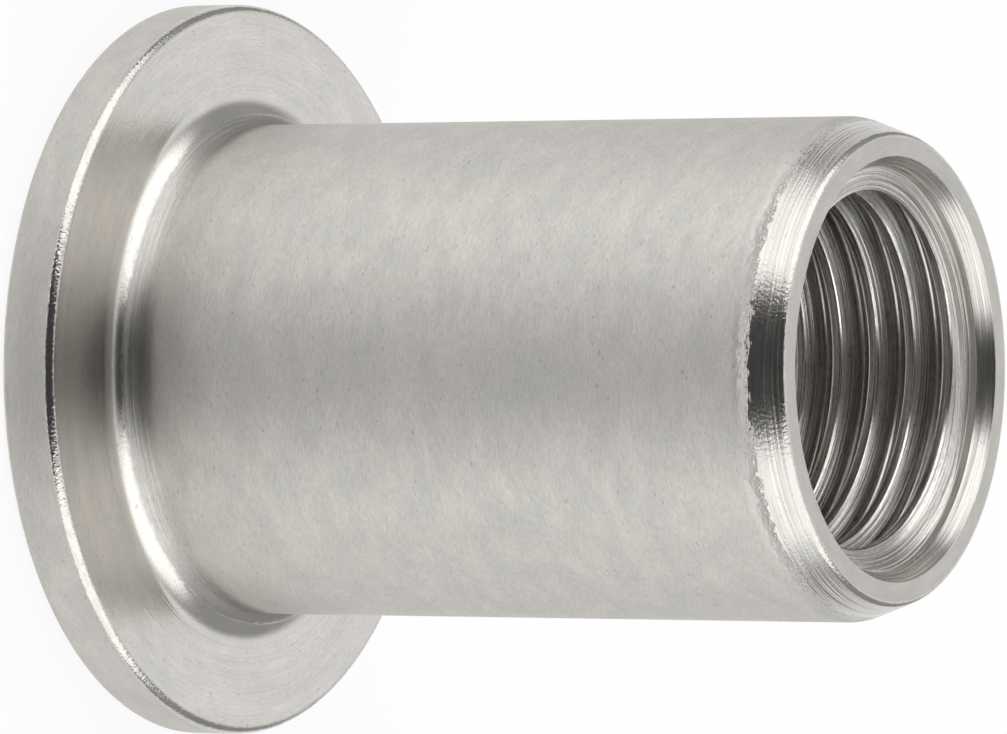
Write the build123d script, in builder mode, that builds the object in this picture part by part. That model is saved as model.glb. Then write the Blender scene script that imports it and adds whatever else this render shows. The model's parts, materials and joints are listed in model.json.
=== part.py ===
"""Blind rivet nut with a large flat flange and a plain round body, in millimetres.

The nut stands on its flange: the flange's outer face lies on Z = 0 and the body rises
along +Z to its open end. The panel it clamps lies against the flange's other face, and
the screw enters through the flange. The far half of the bore carries the thread. The
near half is wider, so that its thin wall can fold outwards and grip the panel.
"""

from build123d import *
from math import radians, tan
import os

# Thread and wall
thread_diameter = 12.0
thread_pitch = 1.25
thread_length = 11.0
wall_thickness = 1.5

# Head
flange_reach = 3.7
flange_thickness = 1.75
seat_rim_radius = 0.25
face_rim_radius = 0.1
seat_fillet = 1.0

# Body, from the flange's inner face to the open end
body_length = 22.5
lead_length = 1.4
lead_depth = 0.5
lead_shoulder_radius = 0.8
lead_tip_radius = 0.2

# Mouth of the thread: a countersink, a short plain land and a flat run-in cone
mouth_allowance = 0.3
mouth_angle = 30.0
land_allowance = 0.02
land_length = 0.25
run_in_angle = 76.0

# Thin-walled half of the bore, on the head side
fold_allowance = 0.3
step_angle = 45.0
entry_chamfer = 0.35

# An internal metric thread's crests stand this many pitches inside its nominal radius
CREST_DEPTH_IN_PITCHES = 0.5413

# Sizes that follow from the ones above
thread_radius = thread_diameter / 2
crest_radius = thread_radius - CREST_DEPTH_IN_PITCHES * thread_pitch
body_radius = thread_radius + wall_thickness
flange_radius = body_radius + flange_reach
tip_radius = body_radius - lead_depth
mouth_radius = thread_radius + mouth_allowance
land_radius = thread_radius + land_allowance
fold_radius = thread_radius + fold_allowance

# Heights above the flange's outer face
open_end = flange_thickness + body_length
lead_start = open_end - lead_length
land_top = open_end - (mouth_radius - land_radius) / tan(radians(mouth_angle))
land_foot = land_top - land_length
thread_top = land_foot - (land_radius - crest_radius) / tan(radians(run_in_angle))
thread_foot = thread_top - thread_length
fold_top = thread_foot - (fold_radius - crest_radius) / tan(radians(step_angle))


def circles_at(part, height):
    """The round edges of a part that lie at one height, the smallest first."""
    flat_rings = part.edges().filter_by(GeomType.CIRCLE)
    level = flat_rings.filter_by_position(Axis.Z, height, height)
    return level.sort_by(SortBy.RADIUS)


with BuildPart() as rivet_nut:
    # The outside is one turned outline: flange, round body and the tapered lead
    with BuildSketch(Plane.XZ):
        with BuildLine():
            Polyline(
                (0, 0),
                (flange_radius, 0),
                (flange_radius, flange_thickness),
                (body_radius, flange_thickness),
                (body_radius, lead_start),
                (tip_radius, open_end),
                (0, open_end),
                close=True,
            )
        make_face()
    revolve(axis=Axis.Z)

    # Every outside edge is eased, and the corner under the flange is a smooth hollow
    fillet(circles_at(rivet_nut, flange_thickness)[0], radius=seat_fillet)
    fillet(circles_at(rivet_nut, flange_thickness)[-1], radius=seat_rim_radius)
    fillet(circles_at(rivet_nut, 0)[-1], radius=face_rim_radius)
    fillet(circles_at(rivet_nut, lead_start)[-1], radius=lead_shoulder_radius)
    fillet(circles_at(rivet_nut, open_end)[-1], radius=lead_tip_radius)

    # The bore, from the flange's face up: wide fold half, step, thread crests, mouth
    with BuildSketch(Plane.XZ):
        with BuildLine():
            Polyline(
                (0, 0),
                (fold_radius, 0),
                (fold_radius, fold_top),
                (crest_radius, thread_foot),
                (crest_radius, thread_top),
                (land_radius, land_foot),
                (land_radius, land_top),
                (mouth_radius, open_end),
                (0, open_end),
                close=True,
            )
        make_face()
    revolve(axis=Axis.Z, mode=Mode.SUBTRACT)

    # The screw enters through the flange, over a small chamfer
    chamfer(circles_at(rivet_nut, 0)[0], length=entry_chamfer)

rivet_nut.part.label = "rivet_nut"

os.makedirs("parts", exist_ok=True)
export_step(rivet_nut.part, "parts/rivet_nut.step")

print("overall height", round(open_end, 3), "flange diameter", round(2 * flange_radius, 3))
print("body diameter", round(2 * body_radius, 3), "thread crest radius", round(crest_radius, 4))
print("threaded from", round(thread_foot, 3), "to", round(thread_top, 3))
print("fold half of the bore up to", round(fold_top, 3), "volume", round(rivet_nut.part.volume, 1))
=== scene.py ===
# %% [markdown]
# # A stainless steel rivet nut
#
# A rivet nut is one turned piece of steel: a wide flange that stops against a panel, a
# plain round body, a tapered lead that finds the hole, and a bore that is threaded in its
# far half. This lesson dresses the imported solid: it carves the real thread, eases every
# edge and gives each surface the finish that the lathe and the tap left on it.
#
# The imported model comes first, because the big sizes below are read from it and its box.

# %% Load the imported nut
import json
from math import pi, radians, sin, cos, tan

import bpy
import numpy as np
from mathutils import Matrix, Vector


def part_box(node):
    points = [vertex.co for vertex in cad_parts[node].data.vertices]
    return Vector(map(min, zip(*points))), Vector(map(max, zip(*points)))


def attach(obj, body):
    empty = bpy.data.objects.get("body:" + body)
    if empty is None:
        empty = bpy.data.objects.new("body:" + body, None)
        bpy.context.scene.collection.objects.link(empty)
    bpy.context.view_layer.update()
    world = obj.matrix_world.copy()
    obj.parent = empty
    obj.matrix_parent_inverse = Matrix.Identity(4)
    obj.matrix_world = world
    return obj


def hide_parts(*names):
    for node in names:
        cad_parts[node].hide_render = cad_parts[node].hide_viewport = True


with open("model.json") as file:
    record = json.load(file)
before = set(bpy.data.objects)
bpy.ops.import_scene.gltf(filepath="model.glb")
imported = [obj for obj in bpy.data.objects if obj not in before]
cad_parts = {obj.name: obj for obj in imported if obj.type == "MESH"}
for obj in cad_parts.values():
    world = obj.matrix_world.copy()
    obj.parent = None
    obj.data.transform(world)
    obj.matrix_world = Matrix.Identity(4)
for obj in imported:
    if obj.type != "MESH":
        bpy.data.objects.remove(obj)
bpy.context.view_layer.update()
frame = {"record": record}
MM = 0.001

# %% [markdown]
# ## The sizes
#
# Everything is drawn in millimetres and turned into metres when a mesh is made. The big
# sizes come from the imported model: the flange and the height from its box, and the body,
# the bore and the thread's crests from the mounts in its record. What the record doesn't
# give, such as the slope of the lead, is a named value here.

# %% Read the sizes
_, high_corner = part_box("rivet_nut")
mounts = {mount["name"]: mount for mount in frame["record"]["mounts"]}

flange_radius = high_corner.x / MM
open_end = high_corner.z / MM
flange_thickness = mounts["seat"]["pos_m"][2] / MM
body_radius = mounts["shank"]["dims"]["r_mm"]
crest_radius = mounts["thread"]["dims"]["r_mm"]
thread_length = mounts["thread"]["dims"]["length_mm"]
fold_radius = mounts["fold_bore"]["dims"]["r_mm"]

seat_fillet = 1.0
seat_rim_radius = 0.25
face_rim_radius = 0.1
lead_length = 1.4
lead_depth = 0.5
lead_shoulder_radius = 0.8
lead_tip_radius = 0.2
print("flange", round(2 * flange_radius, 2), "body", 2 * body_radius, "height", round(open_end, 2))

# %% [markdown]
# The thread is a standard metric one: sixty degrees between its flanks, with a flat of a
# quarter pitch on its crests and of an eighth in its roots. Its mouth is a countersink,
# a short plain land and a run-in cone so flat that it looks like a washer's face.

# %% Work out the thread and the mouth
pitch = 1.25
crest_flat = pitch / 4
root_flat = pitch / 8
flank_height = (pitch - crest_flat - root_flat) / 2
root_radius = crest_radius + flank_height * tan(radians(60))

mouth_radius = root_radius + 0.3
mouth_slope = tan(radians(30))
land_radius = root_radius + 0.02
land_length = 0.25
run_in_slope = tan(radians(76))
step_slope = tan(radians(45))
entry_chamfer = 0.35

land_top = open_end - (mouth_radius - land_radius) / mouth_slope
land_foot = land_top - land_length
thread_top = land_foot - (land_radius - crest_radius) / run_in_slope
thread_foot = thread_top - thread_length
fold_top = thread_foot - (fold_radius - crest_radius) / step_slope
print("thread from", round(thread_foot, 3), "to", round(thread_top, 3))
print("thread radii", round(crest_radius, 3), "and", round(root_radius, 3))

# %% [markdown]
# ## The camera
#
# The nut stands on its flange, but the picture shows it lying with its open end to the
# right. So the camera is the one that lies on its side: it looks down at the nut from
# its front, and its own upward direction is the nut's -X. The distance and the lens were
# found by fitting a pinhole camera to the nut's outline. A long lens far away would
# flatten the ellipses of the flange and the mouth, and a short one would splay them.

# %% Place the camera
image_width = 1007
image_height = 734
head_centre_in_image = (202.04, 369.25)
camera_height_angle = radians(30.324)
distance_to_head = 296.74
body_width_in_pixels = 486.75
pixels_per_mm_at_head = body_width_in_pixels / (2 * body_radius)

lens_in_pixels = pixels_per_mm_at_head * distance_to_head
to_the_right = Vector((0, sin(camera_height_angle), cos(camera_height_angle)))
downwards = Vector((1, 0, 0))
forwards = Vector((0, cos(camera_height_angle), -sin(camera_height_angle)))
head_right = (head_centre_in_image[0] - image_width / 2) / pixels_per_mm_at_head
head_down = (head_centre_in_image[1] - image_height / 2) / pixels_per_mm_at_head
head_from_camera = head_right * to_the_right + head_down * downwards + distance_to_head * forwards
camera_turn = Matrix((to_the_right, -downwards, -forwards)).transposed().to_4x4()

camera = bpy.data.objects.new("camera", bpy.data.cameras.new("camera"))
bpy.context.scene.collection.objects.link(camera)
camera.data.sensor_width = 36
camera.data.lens = camera.data.sensor_width * lens_in_pixels / image_width
camera.data.clip_start = 0.001
camera.matrix_world = Matrix.Translation(-head_from_camera * MM) @ camera_turn
bpy.context.scene.camera = camera
print("lens", round(camera.data.lens, 1), "mm, camera at", [round(-v, 1) for v in head_from_camera])

# %% [markdown]
# ## The outline
#
# A turned part is an outline carried round an axis. Its corners are written as plain
# points, and a helper eases them, because no real edge is perfectly sharp and it is the
# eased edge that catches the light. The helper also gives the outline's direction at
# each point. The surface's normals come from that direction, so a flat face stays flat
# in reflections however coarse the mesh beside it is.

# %% Ease the corners of an outline
def eased(corners, radii, steps):
    """Rounds every inner corner of an open outline of points (radius, height).

    A corner turned by an angle becomes an arc of the given radius. The arc starts
    radius * tan(angle / 2) before the corner, and a point on it, turned by b, lies at
    start + radius * (sin b * direction before + (1 - cos b) * direction across).
    Gives the points and the direction of travel at each of them.
    """
    corners = np.array(corners, float)
    runs = np.diff(corners, axis=0)
    lengths = np.linalg.norm(runs, axis=1)
    along = runs / lengths[:, None]
    before, after = along[:-1], along[1:]
    turn = np.arccos((before * after).sum(axis=1))
    across = (after - before * np.cos(turn)[:, None]) / np.sin(turn)[:, None]
    cut = np.array(radii) * np.tan(turn / 2)
    assert (np.r_[0, cut] + np.r_[cut, 0] < lengths).all(), "two eased corners overlap"

    start = (corners[1:-1] - before * cut[:, None])[:, None]
    turned = (turn[:, None] * np.linspace(0, 1, steps + 1))[:, :, None]
    forward = np.sin(turned) * before[:, None]
    sideways = (1 - np.cos(turned)) * across[:, None]
    points = start + np.array(radii)[:, None, None] * (forward + sideways)
    directions = np.cos(turned) * before[:, None] + np.sin(turned) * across[:, None]
    return points.reshape(-1, 2), directions.reshape(-1, 2)


# %% [markdown]
# The outline of the nut runs from the run-in cone above the thread, over the mouth and
# the end face, down the outside, under the flange and up the fold bore to the step below
# the thread. It travels so that the metal is always on its right. Each row of the list
# is a corner, how much it is eased, the finish of that eased corner, and the finish of
# the stretch after it.

# %% Draw the nut's outline
SMALL_EASE = 0.05
CRISP_EASE = 0.03
outline_plan = [
    ((land_radius, land_foot), SMALL_EASE, "land", "land"),
    ((land_radius, land_top), CRISP_EASE, "countersink", "countersink"),
    ((mouth_radius, open_end), CRISP_EASE, "end_face", "end_face"),
    ((body_radius - lead_depth, open_end), lead_tip_radius, "tip", "outside"),
    ((body_radius, open_end - lead_length), lead_shoulder_radius, "outside", "outside"),
    ((body_radius, flange_thickness), seat_fillet, "outside", "seat"),
    ((flange_radius, flange_thickness), seat_rim_radius, "rim_edge", "rim"),
    ((flange_radius, 0), face_rim_radius, "rim_edge", "head"),
    ((fold_radius + entry_chamfer, 0), SMALL_EASE, "bore", "bore"),
    ((fold_radius, entry_chamfer), SMALL_EASE, "bore", "bore"),
    ((fold_radius, fold_top), SMALL_EASE, "bore", "bore"),
]
ease_steps = 10
plan_corners = [row[0] for row in outline_plan]
plan_eases = [row[1] for row in outline_plan]
outline_corners = [(crest_radius, thread_top)] + plan_corners + [(crest_radius, thread_foot)]
outline, outline_way = eased(outline_corners, plan_eases, ease_steps)
print("outline rows", len(outline))

# %% [markdown]
# ## The thread
#
# A tap cuts a thread whose groove is a sixty degree V with a rounded root, between crests
# left over from the drilled bore. It could be a boolean of a swept cutter, but the ends
# of the cut come out ragged. Here the thread is a surface of two parameters, worked out
# as whole arrays: the profile of one pitch repeated up the bore, and the angle round the
# axis, which lifts the profile by one pitch per turn. Where the turns start was read from
# the picture, so that its crests and the real ones lie on the same lines.

# %% Repeat the groove's profile up the bore
CREST_EASE = 0.12
ROOT_EASE = 0.13
thread_steps = 3
columns = 288
crest_edge_below_open_end = 2.26

one_groove = np.array([
    (crest_radius, 0),
    (root_radius, flank_height),
    (root_radius, flank_height + root_flat),
    (crest_radius, 2 * flank_height + root_flat),
])
crest_edge_at_angle_zero = open_end - crest_edge_below_open_end - pitch / 4
grooves_below = int((crest_edge_at_angle_zero - fold_top) / pitch) + 3
grooves_above = 4
groove_numbers = np.arange(-grooves_below, grooves_above)
groove_heights = crest_edge_at_angle_zero + pitch * groove_numbers
lifts = np.stack([0 * groove_heights, groove_heights], axis=1)
profile_corners = (one_groove[None] + lifts[:, None]).reshape(-1, 2)
profile_eases = np.tile([CREST_EASE, ROOT_EASE, ROOT_EASE, CREST_EASE], len(groove_numbers))[1:-1]
profile, profile_way = eased(profile_corners, profile_eases, thread_steps)
rows_per_pitch = len(one_groove) * (thread_steps + 1)
print("profile rows", len(profile), "of which", rows_per_pitch, "make one pitch")

# %% [markdown]
# The thread has to end where the run-in cone and the step cut it off. Along any one
# column of the surface the cone grows faster than the flank, so the two meet once. The
# helper finds that meeting point in every column, and every row beyond it is moved onto
# it. The rows that fall together there are made one later, so the edge between thread
# and cone is clean, with no jagged teeth.

# %% Find where the thread is cut off
def helix(points):
    """Radii and heights of the thread's rows in every column.

    Row k at angle a stands at the profile's radius and at the profile's height plus
    pitch * a / (2 pi), which is a right-handed screw.
    """
    lift = pitch * np.arange(columns) / columns
    height = points[:, 1:] + lift
    radius = np.repeat(points[:, :1], columns, axis=1)
    return radius, height


def meeting(radius, height, cone_radius, upwards):
    """The row in each column where the thread meets a cone, and the point where it does.

    The gap is the thread's radius less the cone's. Between the last row with a positive
    gap and the next one both surfaces are straight, so the meeting point divides that
    stretch in the ratio of the two gaps.
    """
    gap = radius - cone_radius(height)
    rows = np.arange(len(gap))[:, None]
    outside = gap <= 0
    if upwards:
        beyond = np.where(outside & (height > thread_top - pitch), rows, len(gap)).min(axis=0)
        before = beyond - 1
    else:
        beyond = np.where(outside & (height < thread_foot + pitch / 2), rows, -1).max(axis=0)
        before = beyond + 1
    column = np.arange(columns)
    share = gap[before, column] / (gap[before, column] - gap[beyond, column])
    meet_radius = radius[before, column] + share * (radius[beyond, column] - radius[before, column])
    meet_height = height[before, column] + share * (height[beyond, column] - height[before, column])
    return beyond, meet_radius, meet_height


def run_in_radius(height):
    """The run-in cone's radius at a height: it widens upwards from the crests."""
    return crest_radius + (height - thread_top) * run_in_slope


def step_radius(height):
    """The step's radius at a height: it widens downwards from the crests."""
    return crest_radius + (thread_foot - height) * step_slope


# %% [markdown]
# With the two cones written down, the thread is worked out in every column and its first
# and last rows are moved to where it is cut off.

# %% Cut the thread off at both ends
thread_radius, thread_height = helix(profile)
last_row, last_radius, last_height = meeting(thread_radius, thread_height, run_in_radius, True)
first_row, first_radius, first_height = meeting(thread_radius, thread_height, step_radius, False)
every_column = np.arange(columns)
thread_radius[last_row, every_column] = last_radius
thread_height[last_row, every_column] = last_height
thread_radius[first_row, every_column] = first_radius
thread_height[first_row, every_column] = first_height
print("run-in edge at radii", round(last_radius.min(), 2), "to", round(last_radius.max(), 2))

# %% [markdown]
# ## One closed skin
#
# Thread and outline are joined into one skin. Every strip of faces lies between a lower
# and an upper row of points. At the end of each turn, a row of the thread carries on as
# the row one pitch higher, which is all that makes the groove a helix and not a stack of
# rings.

# %% Number the points of the skin
thread_rows = len(profile)
outline_rows = len(outline)
row_numbers = np.arange(thread_rows)[:, None]
thread_index = np.clip(row_numbers, first_row, last_row) * columns + every_column
next_turn = np.clip(row_numbers + rows_per_pitch, first_row[0], last_row[0]) * columns
thread_index = np.hstack([thread_index, next_turn])

outline_index = thread_rows * columns + np.arange(outline_rows * columns).reshape(outline_rows, columns)
outline_index = np.hstack([outline_index, outline_index[:, :1]])
skin_index = np.vstack([thread_index, outline_index, thread_index[:1]])

outline_radius = np.repeat(outline[:, :1], columns, axis=1)
outline_height = np.repeat(outline[:, 1:], columns, axis=1)
radius = np.vstack([thread_radius, outline_radius]).ravel()
height = np.vstack([thread_height, outline_height]).ravel()
point_angle = np.tile(2 * pi * every_column / columns, thread_rows + outline_rows)
points = np.stack([radius * np.cos(point_angle), radius * np.sin(point_angle), height], axis=1)
print("points before joining", len(points), "strips", len(skin_index) - 1)

# %% [markdown]
# Each strip keeps the normals and the distance along the profile of its own side, so an
# edge can be crisp while the points on it are shared.

# %% Work out the normals and the way along the profile
def normals_of(directions, radii, lead):
    """Outward normals of an outline carried round the axis while it climbs by lead.

    With (dr, dz) the outline's direction, the surface's two tangents are (dr, 0, dz) and
    (0, r, lead / 2 pi) in the radial, round and upward directions. Their cross product
    is (-dz r, -dr lead / 2 pi, dr r), which points away from the metal.
    """
    outward = -directions[:, 1] * radii
    around = -directions[:, 0] * lead / (2 * pi)
    upward = directions[:, 0] * radii
    normals = np.stack([outward, around, upward], axis=1)
    return normals / np.linalg.norm(normals, axis=1, keepdims=True)


def lengths_along(points):
    """Distance along an outline from its first point to each of its points."""
    return np.r_[0, np.cumsum(np.linalg.norm(np.diff(points, axis=0), axis=1))]


thread_normals = normals_of(profile_way, profile[:, 0], pitch)
outline_normals = normals_of(outline_way, outline[:, 0], 0)
row_normals = np.vstack([thread_normals, outline_normals, outline_normals[-1:]])
lower_normals = row_normals[:-1].copy()
upper_normals = row_normals[1:].copy()
lower_normals[thread_rows - 1] = outline_normals[0]

profile_length = lengths_along(profile)
outline_length = lengths_along(outline) + profile_length[-1]
to_cone = np.hypot(last_radius - outline[0, 0], last_height - outline[0, 1])
to_step = np.hypot(first_radius - outline[-1, 0], first_height - outline[-1, 1])
row_length = np.r_[profile_length, outline_length, outline_length[-1]]
lower_length = np.repeat(row_length[:-1, None], columns + 1, axis=1)
upper_length = np.repeat(row_length[1:, None], columns + 1, axis=1)
lower_length[thread_rows - 1] -= np.r_[to_cone, to_cone[:1]]
upper_length[-1] += np.r_[to_step, to_step[:1]]
print("the profile is", round(float(outline_length[-1]), 1), "mm long")

# %% [markdown]
# Each strip also gets its finish, by the number of its material. The edge value is 1 on
# a narrow outer corner and 0 elsewhere, and the materials use it to wear the edges and to
# paint a glint onto them. Inner corners and wide rounds have none, because nothing rubs them.

# %% Give every strip its finish
WIDEST_EDGE = 0.3
finish_names = ["thread", "crest", "run_in", "land", "countersink", "end_face", "tip"]
finish_names += ["outside", "seat", "rim_edge", "rim", "head", "bore"]
corner_numbers = np.array([finish_names.index(row[2]) for row in outline_plan])[:, None]
stretch_numbers = np.array([finish_names.index(row[3]) for row in outline_plan])[:, None]
outline_finish = np.hstack([np.repeat(corner_numbers, ease_steps, axis=1), stretch_numbers]).ravel()
on_crest = np.isclose(np.maximum(profile[:-1, 0], profile[1:, 0]), crest_radius)
thread_finish = np.where(on_crest, finish_names.index("crest"), finish_names.index("thread"))
strip_finish = np.r_[thread_finish, finish_names.index("run_in"), outline_finish]


def edge_values(corners, radii, steps):
    """1 within the arcs of an outline's narrow outer corners, 0 everywhere else.

    With a and b the runs before and after a corner, a x b is negative at a turn to the
    right. That is towards the metal, so such a corner is an outer one.
    """
    runs = np.diff(np.array(corners, float), axis=0)
    turn = runs[:-1, 0] * runs[1:, 1] - runs[:-1, 1] * runs[1:, 0]
    worn = (turn < 0) & (np.array(radii) < WIDEST_EDGE)
    values = np.repeat(worn[:, None], steps + 1, axis=1).astype(float)
    values[:, [0, -1]] = 0
    return values.ravel()


thread_edge = edge_values(profile_corners, profile_eases, thread_steps)
outline_edge = edge_values(outline_corners, plan_eases, ease_steps)
row_edge = np.r_[thread_edge, outline_edge, 0]
print("strips of each finish", {n: int((strip_finish == k).sum()) for k, n in enumerate(finish_names)})

# %% [markdown]
# The faces are quads between neighbouring rows and columns. Everything that a mesh keeps
# at the corners of its faces is first worked out for rows and columns, and two helpers
# bring it into the order of the corners and turn the normals round the axis.

# %% Go from rows and columns to the corners of faces
def four_corners(lower, upper):
    """The values at the four corners of every face, in the order that turns it outwards."""
    return np.stack([lower[:, :-1], upper[:, :-1], upper[:, 1:], lower[:, 1:]], axis=2)


def turned(normals, angles):
    """The radial, round and upward parts of the normals as x, y and z at each column's angle."""
    outward, around, upward = (normals[:, None, part] for part in range(3))
    x = outward * np.cos(angles) - around * np.sin(angles)
    y = outward * np.sin(angles) + around * np.cos(angles)
    return np.stack([x, y, upward + 0 * x], axis=-1)


# %% [markdown]
# Where rows were moved together, corners of a quad fall on the same point. Those repeats
# are dropped: a quad with one repeat is a triangle, and one with two is nothing.

# %% Make the mesh
def skin_mesh(name):
    """The closed mesh of the nut, with its normals, its UV map and its edge value.

    A face has the corners (lower row, column), (upper row, column), (upper row, next
    column) and (lower row, next column). The UV map holds the share of a turn and the
    millimetres along the profile.
    """
    turns = np.arange(columns + 1) / columns
    strips = np.repeat(np.arange(len(strip_finish)), columns)
    faces = four_corners(skin_index[:-1], skin_index[1:]).reshape(-1, 4)
    kept = faces != np.roll(faces, -1, axis=1)
    kept &= (kept.sum(axis=1) > 2)[:, None]
    whole = kept.any(axis=1)
    sizes = kept[whole].sum(axis=1)
    used, corner_points = np.unique(faces[kept], return_inverse=True)

    every_turn = np.broadcast_to(turns, lower_length.shape)
    along_u = four_corners(every_turn, every_turn).reshape(-1, 4)
    along_v = four_corners(lower_length, upper_length).reshape(-1, 4)
    lower_edge = np.broadcast_to(row_edge[:-1, None], lower_length.shape)
    upper_edge = np.broadcast_to(row_edge[1:, None], lower_length.shape)
    edge = four_corners(lower_edge, upper_edge).reshape(-1, 4)
    angles = 2 * pi * turns
    normals = four_corners(turned(lower_normals, angles), turned(upper_normals, angles)).reshape(-1, 4, 3)

    mesh = bpy.data.meshes.new(name)
    mesh.vertices.add(len(used))
    mesh.vertices.foreach_set("co", (points[used] * MM).astype(np.float32).ravel())
    mesh.loops.add(len(corner_points))
    mesh.loops.foreach_set("vertex_index", corner_points.ravel().astype(np.int32))
    mesh.polygons.add(len(sizes))
    mesh.polygons.foreach_set("loop_start", np.r_[0, np.cumsum(sizes)[:-1]].astype(np.int32))
    mesh.polygons.foreach_set("material_index", strip_finish[strips[whole]].astype(np.int32))
    mesh.update(calc_edges=True)
    mesh.validate()
    uv = np.stack([along_u[kept], along_v[kept]], axis=1)
    mesh.uv_layers.new(name="around_and_along").data.foreach_set("uv", uv.astype(np.float32).ravel())
    worn = mesh.attributes.new("edge", "FLOAT", "CORNER")
    worn.data.foreach_set("value", edge[kept].astype(np.float32))
    mesh.shade_smooth()
    mesh.normals_split_custom_set(normals[kept])
    return mesh


nut = bpy.data.objects.new("rivet_nut_finished", skin_mesh("rivet_nut_finished"))
bpy.context.scene.collection.objects.link(nut)
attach(nut, "root")
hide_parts("rivet_nut")
corner_counts = np.array([len(polygon.vertices) for polygon in nut.data.polygons])
print("triangles", int((corner_counts - 2).sum()), "points", len(nut.data.vertices))

# %% [markdown]
# ## Tools for the finishes
#
# A material is a tree of nodes. Small helpers add a node, set its options and fill its
# sockets, so that each material below reads as a list of what it is made of.

# %% Add a node in one line
def put(tree, kind, inputs=None, **options):
    """Adds a node, sets its options, and fills each named socket with a value or a link."""
    node = tree.nodes.new(kind)
    for option, value in options.items():
        setattr(node, option, value)
    for socket, value in (inputs or {}).items():
        if isinstance(value, bpy.types.NodeSocket):
            tree.links.new(value, node.inputs[socket])
        else:
            node.inputs[socket].default_value = value
    return node


def maths(tree, operation, first, second=0.0):
    """One arithmetic step between two values or outputs."""
    return put(tree, "ShaderNodeMath", {0: first, 1: second}, operation=operation).outputs[0]


# %% [markdown]
# The arithmetic of a pattern is made of a few moves that come back all the time. Each
# could be written out where it is needed, but a short name says better what it is for.

# %% Blend and vary numbers
def rescale(tree, value, start, end, low, high, shape="SMOOTHSTEP"):
    """Goes from low to high while the value goes from start to end, and no further."""
    inputs = {0: value, 1: start, 2: end, 3: low, 4: high}
    return put(tree, "ShaderNodeMapRange", inputs, interpolation_type=shape).outputs[0]


def between(tree, share, first, second):
    """First where the share is 0, second where it is 1, and a straight blend between."""
    return rescale(tree, share, 0.0, 1.0, first, second, "LINEAR")


def swing(tree, noise):
    """Turns noise, which is about 0.5 on average, into a value between -1 and 1."""
    return rescale(tree, noise, 0.25, 0.75, -1.0, 1.0, "LINEAR")


def vary(tree, value, change, amount):
    """The value times 1 + change * amount."""
    return maths(tree, "MULTIPLY", value, maths(tree, "ADD", 1.0, maths(tree, "MULTIPLY", change, amount)))


# %% [markdown]
# A pattern that several finishes share is a node group. It is built once, with named
# inputs, and every material that uses it gives it numbers of its own.

# %% Make a group and use it
def new_group(name, inputs, output, output_type="NodeSocketFloat"):
    """A shader node group that takes a place on the skin and plain numbers."""
    group = bpy.data.node_groups.new(name, "ShaderNodeTree")
    group.interface.new_socket("Place", in_out="INPUT", socket_type="NodeSocketVector")
    for socket in inputs:
        group.interface.new_socket(socket, in_out="INPUT", socket_type="NodeSocketFloat")
    group.interface.new_socket(output, in_out="OUTPUT", socket_type=output_type)
    given = group.nodes.new("NodeGroupInput").outputs
    result = group.nodes.new("NodeGroupOutput").inputs
    return group, given, result


def use(tree, group, **inputs):
    """Puts a group into a tree and gives its output. Underscores stand for spaces."""
    named = {socket.replace("_", " "): value for socket, value in inputs.items()}
    return put(tree, "ShaderNodeGroup", named, node_tree=group).outputs[0]


# %% [markdown]
# Whatever the lathe leaves runs round the axis: long fine lines, a short grain, and
# patches drawn out sideways. They all come from one group. It bends the UV map back into
# a tube, so the pattern has no seam where a turn closes, and it stretches the noise:
# Length is how far a mark runs round the nut and Width how far across it, in millimetres.

# %% The marks that run round the axis
def make_turned_marks():
    """Noise on a tube: x and y are radius / length * (cos, sin) of the turn, z is along / width."""
    numbers = ["Radius", "Length", "Width", "Detail"]
    group, given, result = new_group("turned_marks", numbers, "Value")
    uv = put(group, "ShaderNodeSeparateXYZ", {0: given["Place"]}).outputs
    angle = maths(group, "MULTIPLY", uv["X"], 2 * pi)
    reach = maths(group, "DIVIDE", given["Radius"], given["Length"])
    x = maths(group, "MULTIPLY", maths(group, "COSINE", angle), reach)
    y = maths(group, "MULTIPLY", maths(group, "SINE", angle), reach)
    z = maths(group, "DIVIDE", uv["Y"], given["Width"])
    tube = put(group, "ShaderNodeCombineXYZ", {"X": x, "Y": y, "Z": z}).outputs[0]
    noise = put(group, "ShaderNodeTexNoise", {"Vector": tube, "Scale": 1.0, "Detail": given["Detail"]})
    group.links.new(noise.outputs[0], result["Value"])
    return group


turned_marks = make_turned_marks()
print("marks nodes", len(turned_marks.nodes))


def marks(tree, place, radius, length, width, detail=1.0):
    """The value of one layer of marks round the axis, about 0.5 on average."""
    return use(tree, turned_marks, Place=place, Radius=radius, Length=length, Width=width, Detail=detail)


# %% [markdown]
# The relief of a finish is a height in micrometres. Pebbles are the soft dents of a
# rolled or tumbled edge, and lines are what the lathe's feed leaves round the nut.

# %% The relief of turned steel
LINE_LENGTH = 5.0


def make_steel_relief():
    """Sum of two layers of marks, each times its height in micrometres."""
    numbers = ["Radius", "Pebbles", "Lines", "Line Width"]
    group, given, result = new_group("steel_relief", numbers, "Height")
    place, radius = given["Place"], given["Radius"]
    pebbles = marks(group, place, radius, length=0.10, width=0.08)
    lines = marks(group, place, radius, LINE_LENGTH, given["Line Width"])
    height = maths(group, "MULTIPLY", pebbles, given["Pebbles"])
    height = maths(group, "ADD", height, maths(group, "MULTIPLY", lines, given["Lines"]))
    group.links.new(height, result["Height"])
    return group


steel_relief = make_steel_relief()
print("relief nodes", len(steel_relief.nodes))

# %% [markdown]
# Stainless steel is a warm grey that is never quite even. The colour group lets it drift
# between plain grey and a trace of pink, lays a fine grain over it and darkens a few small
# flecks. It paints shade into the bottoms of the lines in the relief and light onto their
# tops, and paints a glint onto worn edges by making them paler.

# %% The colour of turned steel
PLAIN_STEEL = (0.50898, 0.498498, 0.471056, 1)
PINKISH_STEEL = (0.51765, 0.49551, 0.46964, 1)
FLECK_ENDS = (0.69, 0.77)
FLECK_DARKNESS = 0.7
# How much paler worn edges are made: a painted glint on top of their wear.
WORN_EDGE_GLINT = 0.12


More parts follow.
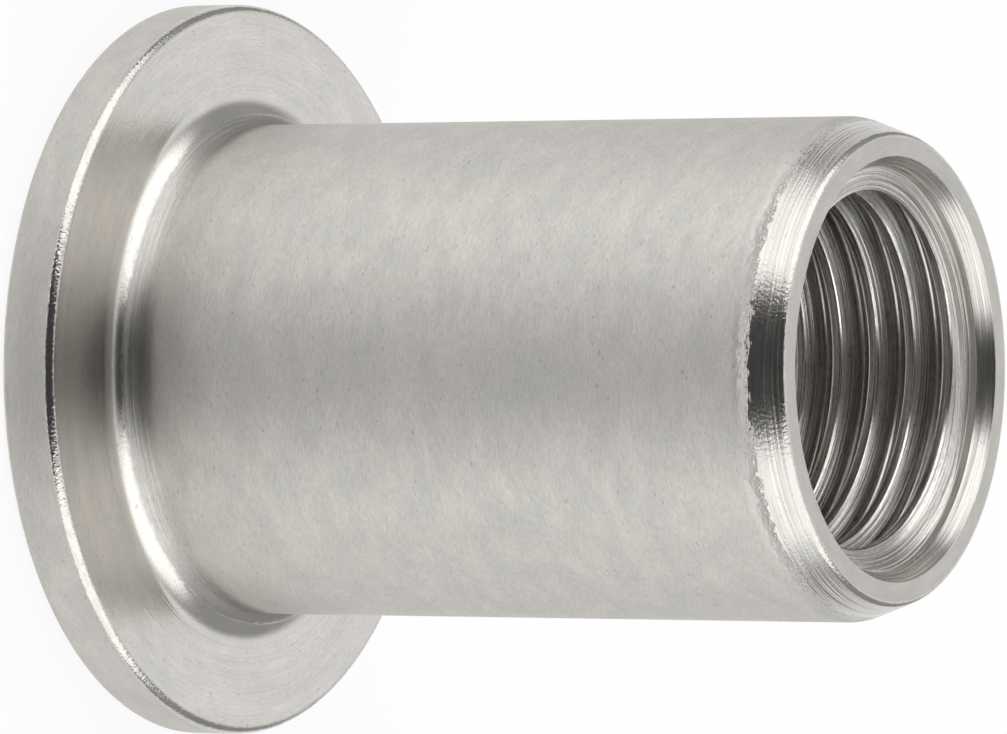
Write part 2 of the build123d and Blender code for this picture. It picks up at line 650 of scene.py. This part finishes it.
def make_steel_colour():
    """A blend of two steels, times tone, grain, painted line shade, flecks and painted edge glint."""
    numbers = ["Radius", "Tone", "Grain", "Bands", "Line Width", "Flecks", "Wear"]
    group, given, result = new_group("steel_colour", numbers, "Color", "NodeSocketColor")
    place, radius = given["Place"], given["Radius"]
    drift = marks(group, place, radius, length=1.4, width=0.7)
    cloud = rescale(group, drift, 0.25, 0.75, 0.95, 1.05, "LINEAR")
    shade = maths(group, "MULTIPLY", given["Tone"], cloud)
    grain = marks(group, place, radius, length=0.22, width=0.05, detail=2.0)
    shade = vary(group, shade, swing(group, grain), given["Grain"])
    # The lines darken the tone where they are low and pale it where they are high: painted shade in their
    # bottoms and painted light on their tops.
    lines = marks(group, place, radius, LINE_LENGTH, given["Line Width"])
    shade = vary(group, shade, swing(group, lines), given["Bands"])
    fleck = marks(group, place, radius, length=0.18, width=0.07)
    fleck = rescale(group, fleck, *FLECK_ENDS, 0.0, -FLECK_DARKNESS)
    shade = vary(group, shade, fleck, given["Flecks"])
    # Worn edges are made paler: a painted glint.
    shade = vary(group, shade, given["Wear"], WORN_EDGE_GLINT)

    pinkness = rescale(group, drift, 0.35, 0.65, 0.0, 1.0)
    tint = put(group, "ShaderNodeMix", {"Factor": pinkness}, data_type="RGBA")
    tint.inputs["A"].default_value = PLAIN_STEEL
    tint.inputs["B"].default_value = PINKISH_STEEL
    scaled = put(group, "ShaderNodeVectorMath", {0: tint.outputs["Result"]}, operation="SCALE")
    group.links.new(shade, scaled.inputs["Scale"])
    group.links.new(scaled.outputs[0], result["Color"])
    return group


steel_colour = make_steel_colour()
print("colour nodes", len(steel_colour.nodes))

# %% [markdown]
# A worn edge is smoother than the faces beside it, but not everywhere: handling rubs it
# in patches. One group turns the edge value into broken wear, which the colour group also
# uses to paint a glint onto the edges, and another one turns a plain roughness into one
# that drifts in patches and drops where the steel is worn.

# %% Wear and roughness
WEAR_ENDS = (0.38, 0.6)
LEAST_WEAR = 0.2
WORN_SMOOTHNESS = 0.5


def make_wear():
    """The edge value times broken noise, from 0 to 1."""
    group, given, result = new_group("edge_wear_and_glint", ["Radius", "Edge"], "Mask")
    noise = marks(group, given["Place"], given["Radius"], length=0.5, width=0.2)
    broken = rescale(group, noise, *WEAR_ENDS, LEAST_WEAR, 1.0)
    group.links.new(maths(group, "MULTIPLY", given["Edge"], broken), result["Mask"])
    return group


def make_steel_gloss():
    """Roughness times drifting patches, less up to half of it where it is worn."""
    numbers = ["Radius", "Roughness", "Patches", "Wear"]
    group, given, result = new_group("steel_gloss", numbers, "Roughness")
    noise = marks(group, given["Place"], given["Radius"], length=1.1, width=0.3)
    patch = rescale(group, noise, 0.25, 0.75, -1.0, 1.0)
    rough = vary(group, given["Roughness"], patch, given["Patches"])
    rough = vary(group, rough, given["Wear"], -WORN_SMOOTHNESS)
    group.links.new(rough, result["Roughness"])
    return group


edge_wear_and_glint = make_wear()
steel_gloss = make_steel_gloss()
print("groups", [group.name for group in bpy.data.node_groups])

# %% [markdown]
# A finish is those groups with numbers of their own. It could name them all, but it is
# easier to read when it names only those in which it differs from plain satin steel.
# Pebbles and lines are heights in micrometres. Grain, patches and the painted shading of the
# lines are shares: the grain and that shading change the tone by them, and the patches the
# roughness.

# %% An empty steel and the numbers of plain satin
SATIN = {"roughness": 0.5, "spread": 0.3, "patches": 0.12, "tone": 1.0, "grain": 0.03, "flecks": 0.4}
SATIN_RELIEF = {"pebbles": 1.0, "lines": 0.5, "line_width": 0.05, "bands": 0.0}


def new_steel(name):
    """An empty metal material, with its tree and its place on the skin."""
    material = bpy.data.materials.new(name)
    material.use_nodes = True
    tree = material.node_tree
    place = put(tree, "ShaderNodeUVMap", {}, uv_map="around_and_along").outputs["UV"]
    return material, tree, place


def chosen(look, *sockets):
    """The numbers of a look that fill the named sockets of a group."""
    return {socket: look[socket.lower()] for socket in sockets}


print("numbers of a finish", [*SATIN, *SATIN_RELIEF])

# %% [markdown]
# Scratches that run round the nut spread its reflections along the nut's axis more than
# round it. They are thinner than a pixel, so a bump can't show them one by one. The metal
# is anisotropic instead, with a tangent that goes round the axis, turned by a quarter.

# %% Steel with a given finish
MICROMETRE = 1e-6
ALONG_THE_AXIS = 0.25


def finish_steel(tree, place, radius, **given):
    """Fills a metal material. Numbers not given are those of a plain satin finish."""
    look = {**SATIN, **SATIN_RELIEF, **given}
    edge = put(tree, "ShaderNodeAttribute", {}, attribute_name="edge").outputs["Fac"]
    where = {"Place": place, "Radius": radius}
    # The broken wear smooths the worn edges and also paints a glint onto them.
    wear_and_glint = use(tree, edge_wear_and_glint, **where, Edge=edge)
    height = use(tree, steel_relief, **where, **chosen(look, "Pebbles", "Lines", "Line_Width"))
    shades = chosen(look, "Tone", "Grain", "Bands", "Line_Width", "Flecks")
    colour = use(tree, steel_colour, **where, **shades, Wear=wear_and_glint)
    gloss = use(tree, steel_gloss, **where, **chosen(look, "Roughness", "Patches"), Wear=wear_and_glint)
    bump = put(tree, "ShaderNodeBump", {"Height": height, "Distance": MICROMETRE, "Strength": 1.0})
    tangent = put(tree, "ShaderNodeTangent", {}, direction_type="RADIAL", axis="Z")
    shader = tree.nodes["Principled BSDF"]
    shader.inputs["Metallic"].default_value = 1.0
    shader.inputs["Anisotropic"].default_value = look["spread"]
    shader.inputs["Anisotropic Rotation"].default_value = ALONG_THE_AXIS
    tree.links.new(colour, shader.inputs["Base Color"])
    tree.links.new(gloss, shader.inputs["Roughness"])
    tree.links.new(bump.outputs["Normal"], shader.inputs["Normal"])
    tree.links.new(tangent.outputs[0], shader.inputs["Tangent"])


def steel(name, radius, **given):
    """A metal material with one finish all over."""
    material, tree, place = new_steel(name)
    finish_steel(tree, place, radius, **given)
    return material


# %% [markdown]
# The outside is one stretch of metal with three finishes: the satin body, the hollow
# under it that the form tool turned, and the lead, which is rolled bright. Three materials
# would meet in hard lines, so one material blends every number of one finish into that of
# the next. Ramps along the axis divide them, and noise frays the ramps. Each pair says
# where a ramp begins and ends, in millimetres above the seat, the hollow's top and the
# lead's shoulder.

# %% Ramps along the axis
HOLLOW_FRAY = 0.03
LEAD_FRAY = 0.10
RING_ENDS = (0.36, 0.24)
HOLLOW_ENDS = (0.5, -0.25)
LEAD_ENDS = (-0.05, 0.42)


def frayed(tree, height, fray, amount):
    """The height along the axis, moved up or down by the noise times an amount."""
    return maths(tree, "ADD", height, maths(tree, "MULTIPLY", fray, amount))


def ramp(tree, height, level, ends):
    """0 at the first end, 1 at the second. Both are given in millimetres above a level."""
    return rescale(tree, height, level + ends[0], level + ends[1], 0.0, 1.0)


# %% [markdown]
# The hollow is polished in a ring at its foot and turned above it. The form tool's lines
# are only on that turned part, and deep pebbles and lines from rolling are on the lead. The
# tones paint light and shade: the satin body and the polished ring are made paler and the
# turned hollow darker.

# %% The outside of the body
def make_outside():
    """Satin steel that turns polished at the hollow's foot and above the lead's shoulder."""
    material, tree, place = new_steel("outside_steel")
    spot = put(tree, "ShaderNodeTexCoord").outputs["Object"]
    along_axis = put(tree, "ShaderNodeSeparateXYZ", {0: spot}).outputs["Z"]
    height = maths(tree, "DIVIDE", along_axis, MM)
    fray = swing(tree, marks(tree, place, body_radius, length=0.3, width=0.1))
    near_hollow = frayed(tree, height, fray, HOLLOW_FRAY)
    near_lead = frayed(tree, height, fray, LEAD_FRAY)

    ring = ramp(tree, near_hollow, flange_thickness, RING_ENDS)
    hollow = ramp(tree, near_hollow, flange_thickness + seat_fillet, HOLLOW_ENDS)
    lead = ramp(tree, near_lead, open_end - lead_length, LEAD_ENDS)
    turned_hollow = maths(tree, "MULTIPLY", hollow, maths(tree, "SUBTRACT", 1.0, ring))
    polished = maths(tree, "MAXIMUM", ring, lead)

    satin_roughness = between(tree, hollow, 0.58, 0.36)
    polished_roughness = between(tree, lead, 0.17, 0.21)
    # The tones are painted light and shade: paler on the satin body and the polished ring, darker on the
    # turned hollow.
    satin_light_and_shade = between(tree, turned_hollow, 1.16, 0.84)
    polished_light = between(tree, ring, 1.0, 1.2)
    hollow_lines = maths(tree, "MULTIPLY", turned_hollow, 16.0)
    hollow_shading = maths(tree, "MULTIPLY", turned_hollow, 0.16)
    finish_steel(
        tree,
        place,
        body_radius,
        roughness=between(tree, polished, satin_roughness, polished_roughness),
        spread=0.28,
        tone=between(tree, polished, satin_light_and_shade, polished_light),
        grain=between(tree, polished, 0.10, 0.04),
        patches=0.05,
        pebbles=between(tree, lead, 2.2, 7.2),
        lines=maths(tree, "ADD", hollow_lines, maths(tree, "MULTIPLY", lead, 16.0)),
        bands=maths(tree, "ADD", hollow_shading, maths(tree, "MULTIPLY", lead, 0.22)),
        line_width=between(tree, lead, 0.04, 0.06),
    )
    return material


# %% [markdown]
# The other finishes are even all over. One steel for the whole nut would be simpler, but
# every tool leaves marks of its own: deep lines in the thread, the mouth and the fold
# bore, pebbles on the rolled edges, and fine rings on the flange.

# %% Every finish
# The tones paint light and shade onto the same steel zone by zone: paler on the thread, its crests, the
# land, the seat and the rim, and darker on the run-in.
finishes = {
    "thread": steel(
        "threaded_steel", crest_radius, roughness=0.30, tone=1.05, grain=0.20, lines=13.0, bands=0.65
    ),
    "crest": steel(
        "thread_crest_steel", crest_radius, roughness=0.36, tone=1.12, grain=0.20, lines=14.0, bands=0.65
    ),
    "run_in": steel(
        "run_in_steel", crest_radius, roughness=0.26, tone=0.95, grain=0.12, lines=24.0, bands=0.65
    ),
    "land": steel(
        "land_steel", root_radius, roughness=0.55, tone=1.2, lines=12.0, bands=0.40, line_width=0.06
    ),
    "countersink": steel(
        "countersunk_steel", mouth_radius, roughness=0.25, lines=18.0, bands=0.40, line_width=0.06
    ),
    "end_face": steel("faced_steel", mouth_radius, roughness=0.45, grain=0.06, flecks=0.2),
    "tip": steel("rolled_tip_steel", body_radius, roughness=0.18, pebbles=9.0),
    "outside": make_outside(),
    "seat": steel(
        "flange_seat_steel", body_radius, roughness=0.24, tone=1.2, grain=0.08, lines=5.0, bands=0.06
    ),
    "rim_edge": steel("rolled_rim_steel", flange_radius, roughness=0.18, pebbles=12.0),
    "rim": steel(
        "flange_rim_steel", flange_radius, roughness=0.58, tone=1.2, grain=0.08, patches=0.05
    ),
    "head": steel("flange_face_steel", body_radius, roughness=0.30, lines=5.0, bands=0.08, grain=0.06),
    "bore": steel(
        "fold_bore_steel", fold_radius, roughness=0.32, lines=10.0, bands=0.20, line_width=0.08
    ),
}
for finish_name in finish_names:
    nut.data.materials.append(finishes[finish_name])
print("finishes", [material.name for material in nut.data.materials])

# %% [markdown]
# ## The studio
#
# Steel has no look of its own: it shows what stands round it. The picture was taken in a
# white room, with a tall soft box on each side that reaches over the top of the nut, and
# a dark strip between the two in which the camera stands. Where each border lies was
# read from the reflections on the flange's round rim and on the lead.
#
# Each of them is a sheet of light. Its strength is stored on its points, and where it
# falls to nothing, at the borders, the sheet is clear. Lamps would give such light too,
# but polished steel would show their hard corners.

# %% A glow with soft borders
def glowing(name, tone):
    """An even glow of the given tone, as dense as the panel's strength and clear beyond it.

    The panels fill most of the view from the nut, so reflected rays find them without
    any sampling aimed at them.
    """
    material = bpy.data.materials.new(name)
    material.use_nodes = True
    material.cycles.emission_sampling = "NONE"
    tree = material.node_tree
    tree.nodes.clear()
    strength = put(tree, "ShaderNodeAttribute", {}, attribute_name="strength").outputs["Fac"]
    glow = put(tree, "ShaderNodeEmission", {"Color": (1, 1, 1, 1), "Strength": tone})
    clear = put(tree, "ShaderNodeBsdfTransparent")
    mix = put(tree, "ShaderNodeMixShader", {0: strength, 1: clear.outputs[0], 2: glow.outputs[0]})
    put(tree, "ShaderNodeOutputMaterial", {"Surface": mix.outputs[0]})
    return material


# %% [markdown]
# A panel is drawn in two angles. The first is how far it lies to the side, away from the
# plane of the nut's axis and the camera. The second goes round in that plane, from the
# horizon on the camera's side over the top to the far horizon.

# %% Build a soft panel
PANEL_STEPS = 48


def smooth_step(value, start, end):
    """0 up to start, 1 from end on, and 3 t^2 - 2 t^3 of the share t between."""
    share = np.clip((value - start) / (end - start), 0, 1)
    return share * share * (3 - 2 * share)


def panel(name, first_sides, last_sides, arc, tone, side_fade, end_fades, distance):
    """A curved panel that faces the nut, part of a sphere about it, with soft borders.

    A point at side angle u and arc angle p stands in the direction
    (sin u, -cos u cos p, cos u sin p). The panel's sides go straight from first_sides, at
    the arc's start, to last_sides, at its end. All borders are given where the panel has
    half its strength, and the fades are how many degrees it takes there. The strength of
    each point is the product of the four fades.
    """
    row = PANEL_STEPS + 1
    along = np.linspace(arc[0] - end_fades[0] / 2, arc[1] + end_fades[1] / 2, row)[:, None]
    share = (along - arc[0]) / (arc[1] - arc[0])
    left = first_sides[0] + share * (last_sides[0] - first_sides[0])
    right = first_sides[1] + share * (last_sides[1] - first_sides[1])
    across = np.linspace(0, 1, row)[None, :]
    half = side_fade / 2
    sideways = left - half + across * (right - left + 2 * half)
    strength = smooth_step(sideways, left - half, left + half)
    strength = strength * smooth_step(-sideways, -right - half, -right + half)
    strength = strength * smooth_step(along, arc[0] - end_fades[0] / 2, arc[0] + end_fades[0] / 2)
    strength = strength * smooth_step(-along, -arc[1] - end_fades[1] / 2, -arc[1] + end_fades[1] / 2)

    u, p = np.radians(sideways), np.radians(along)
    directions = np.stack([np.sin(u), -np.cos(u) * np.cos(p), np.cos(u) * np.sin(p)], axis=-1)
    places = directions.reshape(-1, 3) * distance + np.array([0, 0, open_end / 2])
    corner = (np.arange(PANEL_STEPS)[:, None] * row + np.arange(PANEL_STEPS)).ravel()
    faces = np.stack([corner, corner + 1, corner + row + 1, corner + row], axis=1)
    mesh = bpy.data.meshes.new(name)
    mesh.from_pydata(places * MM, [], faces.tolist())
    mesh.attributes.new("strength", "FLOAT", "POINT").data.foreach_set("value", strength.ravel())
    mesh.shade_smooth()
    mesh.materials.append(glowing(name, tone))
    piece = bpy.data.objects.new(name, mesh)
    bpy.context.scene.collection.objects.link(piece)
    piece.visible_camera = False
    return piece


# %% [markdown]
# The room itself is plain white. The two soft boxes are a little stronger than it, the
# dark strip hangs in front of them, and two grey flags stand far back at the sides. Each
# row says where a panel's sides are at both ends of its arc, the arc, the tone, how wide
# the borders fade, and how far away it stands in millimetres.

# %% Light the room and hang the panels
world = bpy.data.worlds.new("white_room")
bpy.context.scene.world = world
world.use_nodes = True
world.node_tree.nodes["Background"].inputs["Color"].default_value = (1, 1, 1, 1)
world.node_tree.nodes["Background"].inputs["Strength"].default_value = 1.0

panel("soft_box_up", (-86, -14), (-86, -20), (-45, 126), 1.80, 12, (24, 20), 560)
panel("soft_box_down", (14, 84), (18, 84), (-35, 126), 1.72, 12, (24, 20), 560)
panel("dark_strip", (-45, 38), (-17, 13), (-25, 87), 0.07, 17, (24, 26), 520)
panel("grey_flag_up", (-84, -18), (-84, -18), (134, 200), 0.40, 14, (14, 20), 540)
panel("grey_flag_down", (17, 84), (17, 84), (129, 200), 0.38, 14, (14, 20), 540)

# %% [markdown]
# The nut stands on a white floor, close to its front edge. The picture's own reflections
# show the soft boxes and the dark strip below the horizon too, so nothing white lay in
# front of the nut; the edge is just out of the picture. Most of the floor's white is its
# own, so that it meets the white room without a line, and the rest is paint, which keeps
# the nut's soft shadow. From below the floor is clear, so that the underside can be seen.

# %% Lay the floor
FLOOR_REACH = 200.0
FLOOR_FRONT = 13.0
FLOOR_GAP = 0.02
FLOOR_GLOW = 0.86
FLOOR_PAINT = (0.9, 0.9, 0.9, 1)
floor_points = np.array([
    (-FLOOR_REACH, -FLOOR_FRONT, -FLOOR_GAP),
    (FLOOR_REACH, -FLOOR_FRONT, -FLOOR_GAP),
    (FLOOR_REACH, FLOOR_REACH, -FLOOR_GAP),
    (-FLOOR_REACH, FLOOR_REACH, -FLOOR_GAP),
])
floor_mesh = bpy.data.meshes.new("floor")
floor_mesh.from_pydata(floor_points * MM, [], [(0, 1, 2, 3)])
floor = bpy.data.objects.new("floor", floor_mesh)
bpy.context.scene.collection.objects.link(floor)

floor_material = bpy.data.materials.new("white_floor")
floor_material.use_nodes = True
tree = floor_material.node_tree
tree.nodes.clear()
path = put(tree, "ShaderNodeLightPath").outputs
seen = maths(tree, "MAXIMUM", path["Is Camera Ray"], path["Is Glossy Ray"])
seen = maths(tree, "MAXIMUM", seen, path["Is Transmission Ray"])
share = maths(tree, "MULTIPLY", seen, FLOOR_GLOW)
paint = put(tree, "ShaderNodeBsdfDiffuse", {"Color": FLOOR_PAINT})
white = put(tree, "ShaderNodeEmission", {"Color": (1, 1, 1, 1), "Strength": 1.0})
seen_floor = put(tree, "ShaderNodeMixShader", {0: share, 1: paint.outputs[0], 2: white.outputs[0]})
clear = put(tree, "ShaderNodeBsdfTransparent")
from_below = put(tree, "ShaderNodeNewGeometry").outputs["Backfacing"]
floor_look = put(tree, "ShaderNodeMixShader", {0: from_below, 1: seen_floor.outputs[0], 2: clear.outputs[0]})
put(tree, "ShaderNodeOutputMaterial", {"Surface": floor_look.outputs[0]})
floor_mesh.materials.append(floor_material)

bpy.context.scene.view_settings.view_transform = "Standard"
print("floor", 2 * FLOOR_REACH, "mm wide, its front edge", FLOOR_FRONT, "mm before the nut's axis")
